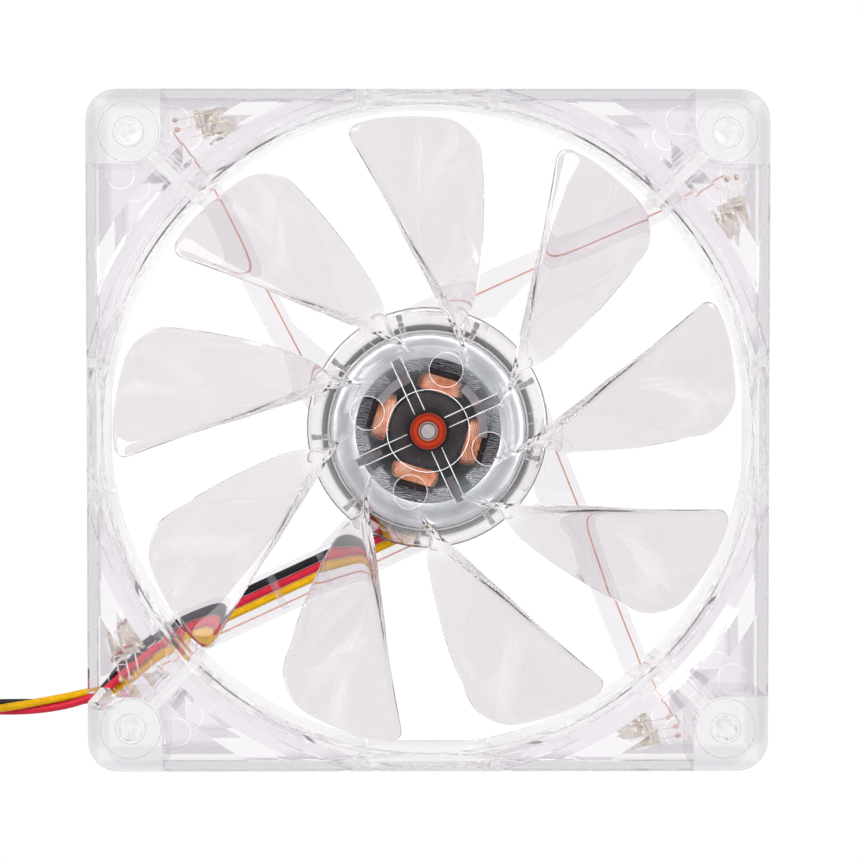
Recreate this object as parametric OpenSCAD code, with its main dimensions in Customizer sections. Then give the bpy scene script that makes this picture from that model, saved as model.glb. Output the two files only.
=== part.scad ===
// Clear 120 mm case fan with four lamp positions, nine blades and a three-wire lead.
// Units are millimetres. The fan lies on its exhaust face: z = 0 is the exhaust
// face, z = 25 the intake face, and the shaft stands on the Z axis.

/* [Housing] */
// Outer side of the square housing
side = 120; // [119:0.5:121]
// Thickness from exhaust face to intake face
depth = 25; // [25:0.1:26]
// Outer corner radius
corner_r = 5.4; // [4:0.2:6]
// Distance between screw hole centres along a side
hole_pitch = 105; // [104.6:0.1:105.4]
// Diameter of the four screw holes
hole_d = 4.4; // [4.1:0.1:4.8]
// Radius of the air duct at its throat
throat_r = 58; // [57.6:0.1:58.1]
// Radius of the intake flare in the corners
flare_r = 66.3; // [64:0.1:67]
// Thickness of the flange plates in the corner pockets
flange_t = 2.5; // [2:0.1:2.8]
// Height of the lip around the flange edges
lip_h = 4; // [3.2:0.1:4.4]

/* [Struts and motor base] */
// Height of the four struts
strut_h = 4; // [3.6:0.1:4]
// Width of the three narrow struts
strut_w = 4.8; // [4.4:0.1:5]
// Radius of the motor base disc
base_r = 22; // [21:0.1:22.4]
// Thickness of the motor base disc
base_t = 2.4; // [2.2:0.1:2.5]

/* [Impeller] */
// Number of blades
blades = 9; // [9:1:9]
// Radius at the blade tips
tip_r = 56; // [55:0.1:56.4]
// Blade thickness near the hub
blade_t = 1.7; // [1.2:0.1:2]

/* [Shaft and bearing] */
// Shaft diameter
shaft_d = 3; // [3:0.05:3.05]
// Bore of the sleeve bearing
bearing_bore = 3.06; // [3.06:0.01:3.14]

/* [Wires and lead] */
// Diameter of one insulated wire
wire_d = 1.48; // [1.3:0.01:1.48]
// Diameter of the gathered three-wire lead
lead_d = 3.3; // [3.2:0.05:3.3]

/* [Hidden] */

half = side / 2;
hp = hole_pitch / 2;
clear_col = [0.90, 0.89, 0.91, 0.45];
eps = 0.01;

// Strut table: direction in degrees, distance of the centreline from the axis,
// full width, distance of the wire groove's centreline, groove width, groove floor height
struts = [
  [117.6, 15.4, strut_w, 14.4, 1.3, 2.6],
  [24.5, 19.0, strut_w, 18.4, 1.3, 2.6],
  [291.7, 19.4, strut_w, 20.4, 1.3, 2.6],
  [204.8, 16.0, 8.2, 16.0, 6.8, 1.2]];

// Winding and pole directions
pole_a = 73.5;

// ---------- helpers ----------
function unit(v) = v / norm(v);
function lerp(a, b, t) = a + (b - a) * t;

// Point on a strut: direction th, sideways distance d, distance t along it, height z
function sp(th, d, t, z) = [-d * sin(th) + t * cos(th), d * cos(th) + t * sin(th), z];

// Rounded square outline
function rsq(h, r, n = 8) = [for (q = [0:3]) for (k = [0:n])
  let (a = 90 * q + 90 * k / n, s = [[1, 1], [-1, 1], [-1, -1], [1, -1]][q])
  [s[0] * (h - r) + r * cos(a), s[1] * (h - r) + r * sin(a)]];

module rsquare(h, r, z0, z1) {
  translate([0, 0, z0]) linear_extrude(height = z1 - z0) polygon(rsq(h, r));
}

function tang(p, i) = i == 0 ? unit(p[1] - p[0])
  : i == len(p) - 1 ? unit(p[i] - p[i - 1])
  : unit(unit(p[i + 1] - p[i]) + unit(p[i] - p[i - 1]));

// Round tube swept along the points p
module tube(p, r, n = 8, ref = [0.21, 0.13, 1]) {
  m = len(p);
  pts = [for (i = [0:m - 1]) let (t = tang(p, i), u = unit(cross(ref, t)), v = cross(t, u))
    for (k = [0:n - 1]) p[i] + r * (cos(360 * (k + 0.5) / n) * u + sin(360 * (k + 0.5) / n) * v)];
  fs = concat(
    [[for (k = [0:n - 1]) k]],
    [for (i = [0:m - 2]) for (k = [0:n - 1]) [i * n + k, (i + 1) * n + k, (i + 1) * n + (k + 1) % n]],
    [for (i = [0:m - 2]) for (k = [0:n - 1]) [i * n + k, (i + 1) * n + (k + 1) % n, i * n + (k + 1) % n]],
    [[for (k = [n - 1:-1:0]) (m - 1) * n + k]]);
  polyhedron(points = pts, faces = fs, convexity = 6);
}

// Ring sector between two radii and two angles
module sector(r0, r1, a0, a1, z0, z1, n = 8) {
  translate([0, 0, z0]) linear_extrude(height = z1 - z0) polygon(concat(
    [for (k = [0:n]) let (a = lerp(a0, a1, k / n)) [r0 * cos(a), r0 * sin(a)]],
    [for (k = [n:-1:0]) let (a = lerp(a0, a1, k / n)) [r1 * cos(a), r1 * sin(a)]]));
}

// ---------- housing ----------
// Air passage with the intake flare and the smaller exhaust flare, as one turned profile
module air_passage() {
  intersection() {
    rotate_extrude($fn = 180) polygon([[0, -1], [61.6, -1], [61, 0], [59.4, 1.8], [58.4, 3.4], [throat_r, 5],
      [throat_r, 16.5], [58.5, 18.4], [59.6, 20.3], [61.2, 22.1], [63.5, 23.8], [flare_r, depth], [flare_r, depth + 1], [0, depth + 1]]);
    translate([-58.2, -58.2, -2]) cube([116.4, 116.4, depth + 4]);
  }
}

// One corner column around a screw hole, in the +X +Y corner
function column_outline() = concat(
  [[half, 47.1], [half, half - corner_r]],
  [for (k = [1:7]) [half - corner_r + corner_r * cos(90 * k / 8), half - corner_r + corner_r * sin(90 * k / 8)]],
  [[half - corner_r, half], [47.1, half], [47.1, 52.5]],
  [for (k = [1:7]) [52.5 + 5.4 * cos(180 + 90 * k / 8), 52.5 + 5.4 * sin(180 + 90 * k / 8)]],
  [[52.5, 47.1]]);

// Strut beam, running from near the axis to the duct wall
module strut_beam(s) {
  intersection() {
    rotate(s[0]) translate([4, s[1] - s[2] / 2, 0]) cube([62, s[2], strut_h]);
    difference() {
      cylinder(r = 61.3, h = strut_h, $fn = 180);
      // nothing of a strut above the base disc, so the rotor runs clear
      translate([0, 0, base_t]) cylinder(r = base_r + 0.8, h = 5, $fn = 120);
    }
  }
}

// Wire groove of a strut, open toward the intake side
module strut_groove(s) {
  rotate(s[0]) translate([s[2] > 6 ? 3 : 9.5, s[3] - s[4] / 2, s[5]]) cube([s[2] > 6 ? 62.5 : 54.5, s[4], 6]);
}

// Gusset block where a strut leaves the base disc
module strut_root(s) {
  rotate(s[0]) translate([0, 0, 0]) linear_extrude(height = base_t - 0.4) polygon([
    [4, s[1] - s[2] / 2 - 0.2], [4, s[1] + s[2] / 2 + 0.2],
    [24, s[1] + s[2] / 2 + 0.2], [sqrt(base_r * base_r - 36) + 7, s[1] + s[2] / 2 - 0.05],
    [sqrt(base_r * base_r - 36) + 7, s[1] - s[2] / 2 + 0.05], [20, s[1] - s[2] / 2 - 3.2]]);
}

// Lamp cradle, with the lamp's own axis frame
module lamp_frame(k) {
  rotate(-90 * (k - 1)) translate([-38.5, 56.0, 12.5]) rotate([0, 0, 12]) children();
}

module housing_frame() {
  color(clear_col) difference() {
    union() {
      difference() {
        union() {
          // flange plates and their lips
          rsquare(half, corner_r, 0, flange_t);
          rsquare(half, corner_r, depth - flange_t, depth);
          difference() {
            union() {
              rsquare(half, corner_r, 0.5, lip_h);
              rsquare(half, corner_r, depth - lip_h, depth - 0.5);
            }
            rsquare(half - 1.5, corner_r - 1.5, -1, depth + 1);
          }
          // duct wall, which follows both flares from outside
          intersection() {
            rotate_extrude($fn = 180) polygon([[0, 0], [62.8, 0], [62.4, 1.2], [60.8, 3.2], [59.8, 5], [59.8, 16.7],
              [60.3, 18.7], [61.4, 20.7], [63, 22.5], [65.4, 24.1], [67.9, depth], [0, depth]]);
            translate([-half, -half, 0]) cube([side, side, depth]);
          }
          // corner columns and diagonal ribs
          for (q = [0:3]) rotate(90 * q) {
            linear_extrude(height = depth) polygon(column_outline());
            rotate(45) translate([59, -0.95, 0.5]) cube([11, 1.9, depth - 1]);
            // short posts beside the middle of each side
            for (s = [-1, 1]) translate([12 * s - 0.8, 58.6, 1]) cube([1.6, 1.4 - 0.05, depth - 2]);
          }
        }
        air_passage();
      }
      // motor base disc, board shoulder and struts
      cylinder(r = base_r, h = base_t, $fn = 120);
      translate([0, 0, 1]) cylinder(r = 5.2, h = 2.9, $fn = 60);
      for (s = struts) { strut_beam(s); strut_root(s); }
      // lamp cradles
      for (k = [1:4]) lamp_frame(k) translate([-1.4, -2.1, -10.5]) cube([2.8, 4.2, 10.5]);
    }
    // wire grooves
    for (s = struts) strut_groove(s);
    // wire pocket behind the duct and the open notch in the side, for the lead
    translate([0, 0, 1.0]) linear_extrude(height = 4) polygon([[-46, -34.5], [-52.6, -37.6], [-57.4, -42.4], [-60.5, -46.3],
      [-60.5, -51], [-57.2, -51], [-52.2, -46.6], [-49.2, -44.6], [-42.5, -41.4]]);
    translate([0, 0, -1]) linear_extrude(height = 6) polygon([[-60.5, -46.3], [-57.6, -45.0], [-55.8, -49.4], [-57.2, -51], [-60.5, -51]]);
    translate([0, 0, -1]) linear_extrude(height = depth + 2) polygon([[-60.5, -46.3], [-58.8, -46.1], [-55.0, -42.0],
      [-53.0, -44.6], [-57.4, -49.2], [-58.3, -47.7], [-60.5, -47.7]]);
    // screw holes
    for (x = [-hp, hp]) for (y = [-hp, hp]) translate([x, y, -1]) cylinder(d = hole_d, h = depth + 2, $fn = 48);
    // seat of the bearing tube, recess of the label
    translate([0, 0, 1]) cylinder(r = 4, h = 5, $fn = 48);
    translate([0, 0, -1]) cylinder(r = 16.7, h = 1.3, $fn = 96);
    // lamp seats
    for (k = [1:4]) lamp_frame(k) rotate([0, 90, 0]) translate([0, 0, -6]) cylinder(r = 1.5, h = 12, $fn = 32);
  }
  // bridges that hold the wires down in the wide strut
  color(clear_col) for (t = [27, 37]) rotate(204.8) translate([t, 11.9, 3.0]) cube([1.4, 8.2, 1]);
}

// ---------- bearing, base fittings ----------
module bearing_tube() {
  color([0.13, 0.11, 0.12]) difference() {
    translate([0, 0, 1]) cylinder(r = 4, h = 13.8, $fn = 48);
    translate([0, 0, 0]) cylinder(r = 3.2, h = 16, $fn = 48);
  }
}

module sleeve_bearing() {
  color([0.62, 0.40, 0.22]) difference() {
    translate([0, 0, 4.4]) cylinder(r = 3.2, h = 10, $fn = 48);
    translate([0, 0, 4]) cylinder(d = bearing_bore, h = 11, $fn = 48);
  }
}

module thrust_pad() {
  color([0.93, 0.92, 0.88]) translate([0, 0, 1]) cylinder(r = 3.2, h = 0.8, $fn = 48);
}

module rear_label() {
  color([0.80, 0.81, 0.83]) cylinder(r = 16.7, h = 0.3, $fn = 96);
}

// ---------- circuit ----------
module circuit_board() {
  color([0.10, 0.36, 0.20]) difference() {
    translate([0, 0, 3.9]) cylinder(r = 12.8, h = 1, $fn = 96);
    translate([0, 0, 3]) cylinder(r = 4, h = 3, $fn = 48);
  }
}

module driver_chip() {
  color([0.10, 0.10, 0.11]) rotate(150) translate([6.4, -2.5, 2.5]) cube([4, 5, 1.4]);
}

module smoothing_capacitor() {
  color([0.78, 0.60, 0.30]) rotate(60) translate([7, -1.0, 2.6]) cube([3.4, 2, 1.3]);
}

module hall_sensor() {
  color([0.10, 0.10, 0.11]) rotate(28.5) translate([10.6, -1.6, 4.9]) cube([1.5, 3.2, 2.8]);
}

// ---------- stator ----------
module stator_core() {
  color([0.42, 0.43, 0.46]) difference() {
    union() {
      translate([0, 0, 8.5]) cylinder(r = 6.2, h = 5, $fn = 60);
      for (k = [0:3]) rotate(pole_a + 90 * k) {
        translate([5.5, -1.7, 8.5]) cube([6, 3.4, 5]);
        sector(10.9, 13.2, -35, 35, 8.5, 13.5, 14);
      }
    }
    translate([0, 0, 8]) cylinder(r = 4, h = 6, $fn = 48);
  }
}

module bobbin_upper() {
  color([0.12, 0.08, 0.09]) difference() {
    union() {
      translate([0, 0, 13.5]) cylinder(r = 6.6, h = 2.1, $fn = 60);
      for (k = [0:3]) rotate(pole_a + 90 * k) {
        translate([5.3, -2.1, 13.6]) cube([5.1, 4.2, 0.6]);
        translate([10.1, -4, 13.5]) cube([0.8, 8, 2.5]);
      }
    }
    translate([0, 0, 13]) cylinder(r = 4, h = 4, $fn = 48);
  }
}

module bobbin_lower() {
  color([0.12, 0.08, 0.09]) difference() {
    union() {
      translate([0, 0, 6.4]) cylinder(r = 6.6, h = 2.1, $fn = 60);
      for (k = [0:3]) rotate(pole_a + 90 * k) {
        translate([6, -2.1, 7.8]) cube([4.4, 4.2, 0.7]);
        translate([10.1, -4, 6.2]) cube([0.8, 8, 2.3]);
        translate([10.1, -0.8, 4.9]) cube([0.8, 1.6, 1.5]);
      }
    }
    translate([0, 0, 6]) cylinder(r = 4, h = 4, $fn = 48);
  }
}

// Copper winding around pole k, a rounded block with the pole's opening through it
module winding(k) {
  o = [[-3.75, 7.9], [-3.4, 7.1], [-2.6, 6.7], [2.6, 6.7], [3.4, 7.1], [3.75, 7.9],
       [3.75, 14.1], [3.4, 14.9], [2.6, 15.3], [-2.6, 15.3], [-3.4, 14.9], [-3.75, 14.1]];
  color([0.88, 0.48, 0.29]) rotate(pole_a + 90 * (k - 1)) difference() {
    translate([6.9, 0, 0]) rotate([90, 0, 90]) linear_extrude(height = 3.1) polygon(o);
    translate([6, -2.1, 7.8]) cube([5, 4.2, 6.4]);
  }
}

module winding_1() { winding(1); }
module winding_2() { winding(2); }
module winding_3() { winding(3); }
module winding_4() { winding(4); }

// Natural plastic arcs that keep the winding ends together
module winding_guide_1() { color([0.80, 0.78, 0.78, 0.8]) sector(9.1, 10.7, -8, 50, 16, 16.6, 12); }
module winding_guide_2() { color([0.80, 0.78, 0.78, 0.8]) sector(9.1, 10.7, 110, 150, 16, 16.6, 9); }

// ---------- lamps ----------
// Clear 3 mm lamp with a collar and two leads, pointing along +X in its own frame
module lamp(k) {
  lamp_frame(k) {
    color([0.93, 0.92, 0.88, 0.6]) rotate([0, 90, 0]) rotate_extrude($fn = 36)
      polygon([[0, -3.2], [1.9, -3.2], [1.9, -2.3], [1.5, -2.3], [1.5, 1.6], [1.38, 2.3], [0.95, 2.85], [0.4, 3.1], [0, 3.15]]);
    color([0.75, 0.72, 0.70]) for (s = [-1, 1]) translate([-6.6, -0.25 + 0.9 * s, -0.25]) cube([3.9, 0.5, 0.5]);
    // solder joint that takes the wire
    color([0.72, 0.56, 0.52]) translate([-7.3, -1.3, -0.6]) cube([1.0, 2.6, 1.2]);
  }
}

module lamp_1() { lamp(1); }
module lamp_2() { lamp(2); }
module lamp_3() { lamp(3); }
module lamp_4() { lamp(4); }

// Point in the corner pocket of lamp k, written for the corner at -X +Y
function pk(k, p) = let (c = [1, 0, -1, 0][k - 1], s = [0, -1, 0, 1][k - 1])
  [c * p[0] - s * p[1], s * p[0] + c * p[1], p[2]];

// Twin enamelled wire of lamp k: from the board's edge, along the strut, through the duct wall, up to the lamp
function lamp_route(k) = let (s = struts[k - 1], th = s[0], d = k == 4 ? 18.6 : s[3], z = k == 4 ? 1.6 : 3.02)
  concat(
    [for (t = k == 4 ? [10.6, 16, 24, 34, 44, 54] : k == 1 ? [14, 20, 24, 34, 44, 54, 60] : [10.5, 16, 24, 34, 44, 53, 58]) sp(th, d, t, z)],
    k == 4 ? [sp(th, d, 60, 2.5), pk(k, [-43.6, 50.9, 3.7]), pk(k, [-44.9, 52.1, 5.8]), pk(k, [-45.4, 52.8, 9])]
      : [pk(k, [-43.6, 50.2, 4]), pk(k, [-44.9, 51.9, 7]), pk(k, [-45.4, 52.8, 10])],
    [pk(k, [-45.6, 53.3, 11.85])]);

module lamp_wire(k) { color([0.80, 0.42, 0.30]) tube(lamp_route(k), 0.36, 6, [0.31, 0.17, 1]); }
module lamp_wire_1() { lamp_wire(1); }
module lamp_wire_2() { lamp_wire(2); }
module lamp_wire_3() { lamp_wire(3); }
module lamp_wire_4() { lamp_wire(4); }

// ---------- wires held in the wide strut ----------
st = 204.8;
route_black = [sp(st, 11.0, 9.0, 3.2), sp(st, 12.2, 10.2, 3.25), sp(st, 13.45, 12.4, 3.1), sp(st, 13.45, 15.2, 2.25), sp(st, 13.45, 18, 2.0), sp(st, 13.4, 28, 2.0),
  sp(st, 13.4, 40, 2.0), sp(st, 13.4, 52, 2.0), sp(st, 13.4, 57, 2.0), [-52.4, -40.0, 1.9], [-54.8, -42.2, 1.9], [-57.2, -45.0, 1.75], [-58.6, -46.9, 1.5], [-60, -48.45, 1.25]];
route_red = [sp(st, 11.0, 5.4, 3.15), sp(st, 12.4, 6.4, 3.2), sp(st, 13.9, 8.2, 2.95), sp(st, 14.95, 11, 2.3), sp(st, 14.95, 15, 2.0), sp(st, 14.9, 28, 2.0),
  sp(st, 14.9, 40, 2.0), sp(st, 14.9, 52, 2.0), sp(st, 14.9, 56.6, 2.1), [-51.4, -41.3, 2.5], [-53.8, -43.3, 2.9], [-56.6, -46.0, 3.2], [-58.4, -47.6, 3.05], [-60, -49.05, 2.6]];
route_yellow = [sp(st, 11.0, 1.8, 3.15), sp(st, 12.6, 2.4, 3.2), sp(st, 14.3, 4.0, 3.15), sp(st, 15.7, 5.9, 2.8), sp(st, 16.45, 9, 2.2), sp(st, 16.45, 13, 2.0), sp(st, 16.4, 28, 2.0),
  sp(st, 16.4, 40, 2.0), sp(st, 16.4, 52, 2.0), sp(st, 16.4, 56, 2.0), [-50.6, -42.6, 1.9], [-53.0, -44.6, 1.9], [-55.7, -47.1, 1.75], [-57.9, -48.6, 1.5], [-60, -49.95, 1.25]];

module wire_black() { color([0.10, 0.09, 0.10]) tube(route_black, wire_d / 2); }
module wire_red() { color([0.80, 0.08, 0.18]) tube(route_red, wire_d / 2); }
module wire_yellow() { color([0.94, 0.78, 0.06]) tube(route_yellow, wire_d / 2); }

// ---------- free lead, 400 mm: run, three turns of coil, tail, plug ----------
coil_c = [-101, -34.5];
coil_r = 17.5;
route_run = [[-60.5, -49.3, 1.7], [-63, -49.9, 1.7], [-67, -50.7, 1.7], [-72, -51.3, 1.7], [-78, -51.7, 1.9], [-85, -51.9, 2.2], [-90.2, -52, 2.3]];
route_tail = [[-110.1, -53.25, 10.9], [-111, -53.4, 10.6], [-116, -54.2, 7.8], [-120.5, -54.8, 4.9], [-124, -55, 3.2], [-127.9, -55, 2.95]];

module lead_run() { color([0.55, 0.12, 0.14]) tube(route_run, lead_d / 2); }
module lead_tail() { color([0.55, 0.12, 0.14]) tube(route_tail, lead_d / 2); }

module lead_coil() {
  color([0.45, 0.12, 0.14]) translate([coil_c[0], coil_c[1], 0.85]) rotate_extrude($fn = 72)
    translate([coil_r - lead_d / 2, 0]) polygon([[0, 0.8], [0.8, 0], [lead_d - 0.8, 0], [lead_d, 0.8],
      [lead_d, 12.4], [lead_d - 0.8, 13.2], [0.8, 13.2], [0, 12.4]]);
}

module lead_tie() {
  color([0.15, 0.15, 0.16]) translate([coil_c[0] - coil_r, coil_c[1], 0]) difference() {
    translate([-2.6, -1.25, 0]) cube([5.2, 2.5, 14.9]);
    translate([-1.8, -2, 0.8]) cube([3.6, 4, 13.3]);
  }
}

// Three-way plug lying on its side, mouth away from the lead
module plug_body() {
  color([0.93, 0.92, 0.89]) difference() {
    union() {
      translate([-140.7, -58.8, 0]) cube([12.7, 7.6, 5.0]);
      for (y = [-57.4, -53.6]) translate([-140.7, y, 4.5]) cube([8.4, 1.0, 1.3]);
      translate([-131.4, -57.4, 4.5]) cube([1.6, 4.8, 1.4]);
    }
    for (i = [-1:1]) translate([-141, -55 + 2.54 * i - 0.85, 1.6]) cube([11.6, 1.7, 1.7]);
  }
}

module plug_contact(i) {
  color([0.83, 0.70, 0.40]) difference() {
    translate([-139.9, -55 + 2.54 * (i - 2) - 0.85, 1.6]) cube([10.5, 1.7, 1.7]);
    translate([-140.5, -55 + 2.54 * (i - 2) - 0.4, 2.05]) cube([7, 0.8, 0.8]);
  }
}
module plug_contact_1() { plug_contact(1); }
module plug_contact_2() { plug_contact(2); }
module plug_contact_3() { plug_contact(3); }

// ---------- rotor ----------
// Blade stations: radius, leading angle, leading height, trailing angle, trailing height, thickness
stations = [
  [12.2, 54.5, 23.9, 55.6, 22.9, 0.9], [15, 63.5, 24.2, 65.0, 22.2, 1.3], [18, 73.2, 23.9, 71.4, 16.6, 1.6], [20.5, 80.6, 23.7, 71.4, 8.4, blade_t],
  [23, 85.6, 23.5, 70.3, 5.8, blade_t], [26.5, 90.2, 23.3, 70.6, 5.5, blade_t - 0.1], [32, 95.3, 23.1, 72.5, 5.5, blade_t - 0.2], [38, 98.7, 23.0, 74.6, 5.5, blade_t - 0.3],
  [44, 101.5, 23.0, 76.6, 5.5, blade_t - 0.4], [50, 103.7, 23.0, 78.4, 5.6, blade_t - 0.5], [tip_r - 2, 104.9, 22.9, 79.6, 5.8, blade_t - 0.5], [tip_r, 105.3, 22.7, 80.6, 6.2, blade_t - 0.5]];
cols = 6;

function camber(c) = c + 0.35 * c * (c - 1);
function b_ang(w, c) = lerp(w[1], w[3], c);
function b_z(w, c) = lerp(w[2], w[4], camber(c));
function b_rad(w, c) = w[0] - pow(w[0] / tip_r, 12) * (0.8 * pow(max(0, 1 - c / 0.3), 2) + 3.2 * pow(max(0, (c - 0.72) / 0.28), 2));
function b_nrm(w, c) = let (a = b_ang(w, c), rd = w[0] * (w[3] - w[1]) * PI / 180, dz = (w[4] - w[2]) * (1 + 0.35 * (2 * c - 1)))
  unit([dz * sin(a), -dz * cos(a), rd]);
function b_th(w, c) = w[5] * (1 - 0.5 * pow(abs(2 * c - 1), 3));
function b_pt(w, c, s) = let (a = b_ang(w, c), r = b_rad(w, c))
  [r * cos(a), r * sin(a), b_z(w, c)] + s * b_th(w, c) / 2 * b_nrm(w, c);

module blade() {
  m = len(stations);
  n = cols + 1;
  pts = concat([for (i = [0:m - 1]) for (j = [0:cols]) b_pt(stations[i], j / cols, 1)],
               [for (i = [0:m - 1]) for (j = [0:cols]) b_pt(stations[i], j / cols, -1)]);
  o = m * n;
  fs = concat(
    [for (i = [0:m - 2]) for (j = [0:cols - 1]) each [[i * n + j, i * n + j + 1, (i + 1) * n + j + 1], [i * n + j, (i + 1) * n + j + 1, (i + 1) * n + j]]],
    [for (i = [0:m - 2]) for (j = [0:cols - 1]) each [[o + i * n + j, o + (i + 1) * n + j + 1, o + i * n + j + 1], [o + i * n + j, o + (i + 1) * n + j, o + (i + 1) * n + j + 1]]],
    [for (j = [0:cols - 1]) each [[j, o + j, o + j + 1], [j, o + j + 1, j + 1]]],
    [for (j = [0:cols - 1]) let (e = (m - 1) * n) each [[e + j, e + j + 1, o + e + j + 1], [e + j, o + e + j + 1, o + e + j]]],
    [for (i = [0:m - 2]) each [[i * n, (i + 1) * n, o + (i + 1) * n], [i * n, o + (i + 1) * n, o + i * n]]],
    [for (i = [0:m - 2]) let (e = cols) each [[i * n + e, o + i * n + e, o + (i + 1) * n + e], [i * n + e, o + (i + 1) * n + e, (i + 1) * n + e]]]);
  polyhedron(points = pts, faces = fs, convexity = 6);
}

module hub_shell() {
  // front disc and conical skirt, as one turned profile
  rotate_extrude($fn = 120) polygon([[3.2, 24], [13.5, 24], [16, 23], [18.2, 19], [20, 12], [21.7, 4],
    [20.6, 4], [18.9, 12], [17.3, 18.6], [16.8, 18.6], [16.8, 20], [15.2, 20.6], [14.2, 22.5],
    [5.2, 22.5], [5.2, 16.6], [3.2, 16.6]]);
  // cross ribs and moulding marks under the disc
  for (k = [0:3]) {
    rotate(24.5 + 90 * k) translate([4.5, -0.95, 21.3]) cube([9.3, 1.9, 1.5]);
    rotate(73.5 + 90 * k) translate([11.2, 0, 22.1]) cylinder(r = 3, h = 0.8, $fn = 36);
  }
  difference() {
    translate([0, 0, 21.6]) cylinder(r = 7.3, h = 1.2, $fn = 60);
    translate([0, 0, 21]) cylinder(r = 6.8, h = 2.2, $fn = 60);
  }
  // webs between skirt and yoke
  for (k = [0:8]) rotate(24.5 + 40 * k) translate([0, 0.5, 0]) rotate([90, 0, 0]) linear_extrude(height = 1)
    polygon([[16.85, 5.5], [20.8, 5.5], [18.8, 14.5], [16.85, 14.5]]);
  for (a = [6, 126, 246]) rotate(a) translate([18.9, 0, 9]) cylinder(r = 1.05, h = 4, $fn = 24);
}

module impeller() {
  color(clear_col) union() {
    hub_shell();
    for (k = [0:blades - 1]) rotate(-40 * k) blade();
  }
}

module hub_insert() {
  color([0.78, 0.25, 0.08]) difference() {
    translate([0, 0, 15.6]) cylinder(r = 3.2, h = 8.1, $fn = 48);
    translate([0, 0, 15]) cylinder(d = shaft_d, h = 10, $fn = 48);
  }
}

module shaft() {
  color([0.72, 0.73, 0.75]) rotate_extrude($fn = 48)
    polygon([[0, 2.2], [1.1, 2.2], [shaft_d / 2, 2.6], [shaft_d / 2, 23.2], [1.25, 23.5], [0, 23.5]]);
}

module retaining_clip() {
  color([0.30, 0.31, 0.33]) difference() {
    translate([0, 0, 3.1]) cylinder(r = 2.6, h = 0.5, $fn = 36);
    translate([0, 0, 3]) cylinder(d = shaft_d, h = 1, $fn = 48);
    translate([0.9, -0.7, 3]) cube([3, 1.4, 1]);
  }
}

module slip_washer() {
  color([0.90, 0.89, 0.84]) difference() {
    translate([0, 0, 15.1]) cylinder(r = 2.8, h = 0.5, $fn = 36);
    translate([0, 0, 15]) cylinder(d = shaft_d, h = 1, $fn = 48);
  }
}

module rotor_yoke() {
  color([0.68, 0.71, 0.72]) rotate_extrude($fn = 96) polygon([[15.8, 6], [16.8, 6], [16.8, 19.2], [16.5, 19.8], [15.9, 20],
    [12.9, 20], [12.9, 19], [15.8, 19]]);
}

module magnet_ring() {
  color([0.22, 0.21, 0.22]) difference() {
    translate([0, 0, 7]) cylinder(r = 15.8, h = 12, $fn = 96);
    translate([0, 0, 6]) cylinder(r = 13.7, h = 14, $fn = 96);
  }
}

housing_frame();
bearing_tube();
sleeve_bearing();
thrust_pad();
rear_label();
circuit_board();
driver_chip();
smoothing_capacitor();
hall_sensor();
stator_core();
bobbin_lower();
bobbin_upper();
winding_1();
winding_2();
winding_3();
winding_4();
winding_guide_1();
winding_guide_2();
lamp_1();
lamp_2();
lamp_3();
lamp_4();
lamp_wire_1();
lamp_wire_2();
lamp_wire_3();
lamp_wire_4();
wire_black();
wire_red();
wire_yellow();
lead_run();
lead_coil();
lead_tail();
lead_tie();
plug_body();
plug_contact_1();
plug_contact_2();
plug_contact_3();
impeller();
hub_insert();
shaft();
retaining_clip();
slip_washer();
rotor_yoke();
magnet_ring();
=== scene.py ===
import math

import bmesh
import bpy
from mathutils import Matrix, Vector


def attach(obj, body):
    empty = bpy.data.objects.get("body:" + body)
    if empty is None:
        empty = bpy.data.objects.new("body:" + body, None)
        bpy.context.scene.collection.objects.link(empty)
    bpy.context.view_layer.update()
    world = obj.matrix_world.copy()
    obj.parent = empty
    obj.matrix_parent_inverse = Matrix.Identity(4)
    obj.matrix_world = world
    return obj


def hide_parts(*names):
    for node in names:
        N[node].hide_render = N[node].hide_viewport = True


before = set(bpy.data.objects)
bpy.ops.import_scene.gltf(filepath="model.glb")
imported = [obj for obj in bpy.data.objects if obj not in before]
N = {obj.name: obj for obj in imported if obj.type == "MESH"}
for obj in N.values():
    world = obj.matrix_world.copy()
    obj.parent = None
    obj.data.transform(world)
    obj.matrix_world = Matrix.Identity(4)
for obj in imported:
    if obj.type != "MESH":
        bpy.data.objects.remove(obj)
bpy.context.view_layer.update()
MM = 0.001
scene = bpy.context.scene


# ------------------------------------------------------------------ camera
def look_at(loc, target, up=(0, 1, 0)):
    f = (Vector(target) - Vector(loc)).normalized()
    r = f.cross(Vector(up)).normalized()
    u = r.cross(f)
    m = Matrix(((r.x, u.x, -f.x), (r.y, u.y, -f.y), (r.z, u.z, -f.z))).to_4x4()
    m.translation = Vector(loc)
    return m


cam_data = bpy.data.cameras.new("view_camera")
cam_data.lens = 114.4
cam_data.sensor_width = 36.0
cam_data.clip_start = 0.01
cam_data.clip_end = 20
cam = bpy.data.objects.new("view_camera", cam_data)
scene.collection.objects.link(cam)
cam.matrix_world = look_at((-0.0036, 0.01677, 0.5050), (0.0003, 0.00027, 0.025))
scene.camera = cam


# ------------------------------------------------------------------ helpers
def lerp(a, b, t):
    return a + (b - a) * t


def new_obj(name, verts, faces, mats, body, smooth=True, face_mats=None):
    me = bpy.data.meshes.new(name)
    me.from_pydata([tuple(v) for v in verts], [], [tuple(f) for f in faces])
    me.validate()
    for m in mats if isinstance(mats, (list, tuple)) else [mats]:
        me.materials.append(m)
    if face_mats:
        for p, i in zip(me.polygons, face_mats):
            p.material_index = i
    for p in me.polygons:
        p.use_smooth = smooth
    o = bpy.data.objects.new(name, me)
    scene.collection.objects.link(o)
    if body:
        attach(o, body)
    return o


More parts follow.
